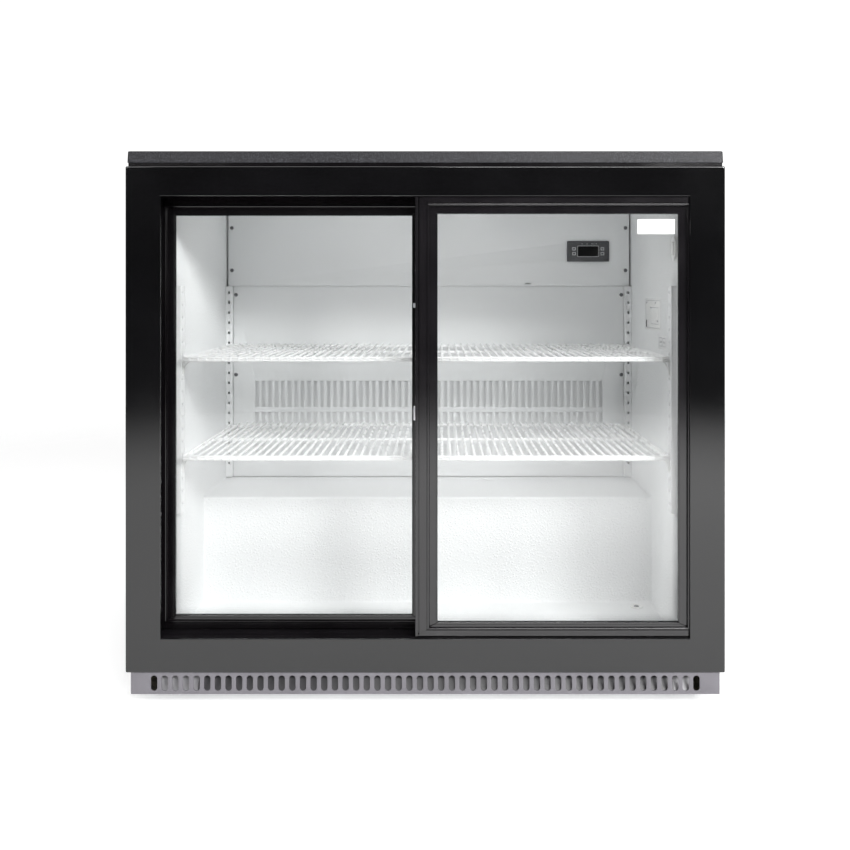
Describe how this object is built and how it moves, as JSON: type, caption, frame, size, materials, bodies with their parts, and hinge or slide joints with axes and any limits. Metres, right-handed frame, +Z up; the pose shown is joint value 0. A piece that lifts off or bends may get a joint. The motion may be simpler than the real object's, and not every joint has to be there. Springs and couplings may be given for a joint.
{
  "type": "under counter fridge",
  "caption": "Under-counter bottle cooler with sliding glass doors, wire shelves, a machine hump and levelling feet.",
  "frame": {"origin": "on the floor, below the centre of the cabinet", "axes": "+X to the right seen from the front, -Y out of the doors, +Z up"},
  "size_m": [0.9, 0.51, 0.842],
  "materials": {
    "black_paint": "semi-gloss black paint",
    "worktop_skin": "dark grey embossed and speckled",
    "galvanised": "galvanised, satin",
    "liner_skin": "white, stucco embossed",
    "white_sheet": "white, smooth satin",
    "white_wire": "white polyethylene coating on steel wire",
    "kick_plastic": "light grey moulded",
    "dark_plastic": "dark grey moulded",
    "white_plastic": "white moulded",
    "foam_core": "foamed-in-place polyurethane",
    "aluminium": "satin",
    "door_glass": "clear double glazing",
    "machine_black": "black enamel"
  },
  "bodies": {
    "cabinet": {"base_tray": "galvanised", "side_panel_left": "black_paint", "side_panel_right": "black_paint", "back_panel": "galvanised", "rear_grille": "galvanised", "cord_gland": "dark_plastic", "top_panel": "worktop_skin", "insulation_foam": "foam_core", "inner_liner": "liner_skin", "front_frame": "black_paint", "bottom_track": "black_paint", "kick_grille": "kick_plastic", "rear_air_panel": "white_sheet", "evaporator_cover": "white_sheet", "evaporator_coil": "aluminium", "evaporator_fan_housing": "galvanised", "thermostat_body": "dark_plastic", "light_bar": "white_plastic", "light_switch_body": "white_plastic", "compressor": "machine_black", "condenser": "machine_black", "pilaster_front_left": "white_sheet", "shelf_clip_lower_front_left": "white_plastic", "shelf_clip_upper_front_left": "white_plastic", "pilaster_front_right": "white_sheet", "shelf_clip_lower_front_right": "white_plastic", "shelf_clip_upper_front_right": "white_plastic", "pilaster_rear_left": "white_sheet", "shelf_clip_lower_rear_left": "white_plastic", "shelf_clip_upper_rear_left": "white_plastic", "pilaster_rear_right": "white_sheet", "shelf_clip_lower_rear_right": "white_plastic", "shelf_clip_upper_rear_right": "white_plastic"},
    "front_door": {"front_door_stile_left": "black_paint", "front_door_stile_right": "black_paint", "front_door_rail_bottom": "black_paint", "front_door_rail_top": "black_paint", "front_door_glass": "door_glass"},
    "front_door_roller_left": {"front_door_roller_left": "white_plastic"},
    "front_door_roller_right": {"front_door_roller_right": "white_plastic"},
    "rear_door": {"rear_door_stile_left": "black_paint", "rear_door_stile_right": "black_paint", "rear_door_rail_bottom": "black_paint", "rear_door_rail_top": "black_paint", "rear_door_glass": "door_glass"},
    "rear_door_roller_left": {"rear_door_roller_left": "white_plastic"},
    "rear_door_roller_right": {"rear_door_roller_right": "white_plastic"},
    "shelf_lower": {"shelf_lower": "white_wire"},
    "shelf_upper": {"shelf_upper": "white_wire"},
    "evaporator_fan_blade": {"evaporator_fan_blade": "dark_plastic"},
    "condenser_fan_blade": {"condenser_fan_blade": "dark_plastic"},
    "thermostat_button_upper_left": {"thermostat_button_upper_left": "dark_plastic"},
    "thermostat_button_upper_right": {"thermostat_button_upper_right": "dark_plastic"},
    "thermostat_button_lower_left": {"thermostat_button_lower_left": "dark_plastic"},
    "thermostat_button_lower_right": {"thermostat_button_lower_right": "dark_plastic"},
    "light_switch_rocker": {"light_switch_rocker": "white_plastic"},
    "foot_front_left": {"foot_front_left": "dark_plastic"},
    "foot_front_right": {"foot_front_right": "dark_plastic"},
    "foot_rear_left": {"foot_rear_left": "dark_plastic"},
    "foot_rear_right": {"foot_rear_right": "dark_plastic"}
  },
  "joints": [
    {"name": "front_door_slide", "type": "slide", "parent": "cabinet", "child": "front_door", "axis": [1, 0, 0], "range_m": [-0.392, 0]},
    {"name": "front_door_roller_left_spin", "type": "hinge", "parent": "front_door", "child": "front_door_roller_left", "pos_m": [0.055, -0.2389, 0.1126], "axis": [0, 1, 0], "continuous": true},
    {"name": "front_door_roller_right_spin", "type": "hinge", "parent": "front_door", "child": "front_door_roller_right", "pos_m": [0.341, -0.2389, 0.1126], "axis": [0, 1, 0], "continuous": true},
    {"name": "rear_door_slide", "type": "slide", "parent": "cabinet", "child": "rear_door", "axis": [1, 0, 0], "range_m": [0, 0.392]},
    {"name": "rear_door_roller_left_spin", "type": "hinge", "parent": "rear_door", "child": "rear_door_roller_left", "pos_m": [-0.341, -0.2119, 0.1126], "axis": [0, 1, 0], "continuous": true},
    {"name": "rear_door_roller_right_spin", "type": "hinge", "parent": "rear_door", "child": "rear_door_roller_right", "pos_m": [-0.055, -0.2119, 0.1126], "axis": [0, 1, 0], "continuous": true},
    {"name": "shelf_lower_lift", "type": "slide", "parent": "cabinet", "child": "shelf_lower", "axis": [0, 0, 1], "range_m": [0, 0.05]},
    {"name": "shelf_upper_lift", "type": "slide", "parent": "cabinet", "child": "shelf_upper", "axis": [0, 0, 1], "range_m": [0, 0.05]},
    {"name": "evaporator_fan_spin", "type": "hinge", "parent": "cabinet", "child": "evaporator_fan_blade", "pos_m": [-0.3, 0.1605, 0.715], "axis": [0, 1, 0], "continuous": true},
    {"name": "condenser_fan_spin", "type": "hinge", "parent": "cabinet", "child": "condenser_fan_blade", "pos_m": [-0.028, 0.14, 0.124], "axis": [1, 0, 0], "continuous": true},
    {"name": "thermostat_button_upper_left_press", "type": "slide", "parent": "cabinet", "child": "thermostat_button_upper_left", "axis": [0, 1, 0], "range_m": [0, 0.0006], "stiffness_N_per_m": 300},
    {"name": "thermostat_button_upper_right_press", "type": "slide", "parent": "cabinet", "child": "thermostat_button_upper_right", "axis": [0, 1, 0], "range_m": [0, 0.0006], "stiffness_N_per_m": 300},
    {"name": "thermostat_button_lower_left_press", "type": "slide", "parent": "cabinet", "child": "thermostat_button_lower_left", "axis": [0, 1, 0], "range_m": [0, 0.0006], "stiffness_N_per_m": 300},
    {"name": "thermostat_button_lower_right_press", "type": "slide", "parent": "cabinet", "child": "thermostat_button_lower_right", "axis": [0, 1, 0], "range_m": [0, 0.0006], "stiffness_N_per_m": 300},
    {"name": "light_switch_rock", "type": "hinge", "parent": "cabinet", "child": "light_switch_rocker", "pos_m": [0.3985, -0.165, 0.7], "axis": [0, 1, 0], "range_deg": [-8, 8]},
    {"name": "foot_front_left_turn", "type": "hinge", "parent": "cabinet", "child": "foot_front_left", "pos_m": [-0.385, -0.176, 0], "axis": [0, 0, 1], "range_deg": [0, 720]},
    {"name": "foot_front_right_turn", "type": "hinge", "parent": "cabinet", "child": "foot_front_right", "pos_m": [0.385, -0.176, 0], "axis": [0, 0, 1], "range_deg": [0, 720]},
    {"name": "foot_rear_left_turn", "type": "hinge", "parent": "cabinet", "child": "foot_rear_left", "pos_m": [-0.385, 0.205, 0], "axis": [0, 0, 1], "range_deg": [0, 720]},
    {"name": "foot_rear_right_turn", "type": "hinge", "parent": "cabinet", "child": "foot_rear_right", "pos_m": [0.385, 0.205, 0], "axis": [0, 0, 1], "range_deg": [0, 720]}
  ],
  "couplings": [
    {"joint": "front_door_roller_left_spin", "follows": "front_door_slide", "rad_per_m": 166.67},
    {"joint": "front_door_roller_right_spin", "follows": "front_door_slide", "rad_per_m": 166.67},
    {"joint": "rear_door_roller_left_spin", "follows": "rear_door_slide", "rad_per_m": 166.67},
    {"joint": "rear_door_roller_right_spin", "follows": "rear_door_slide", "rad_per_m": 166.67}
  ]
}
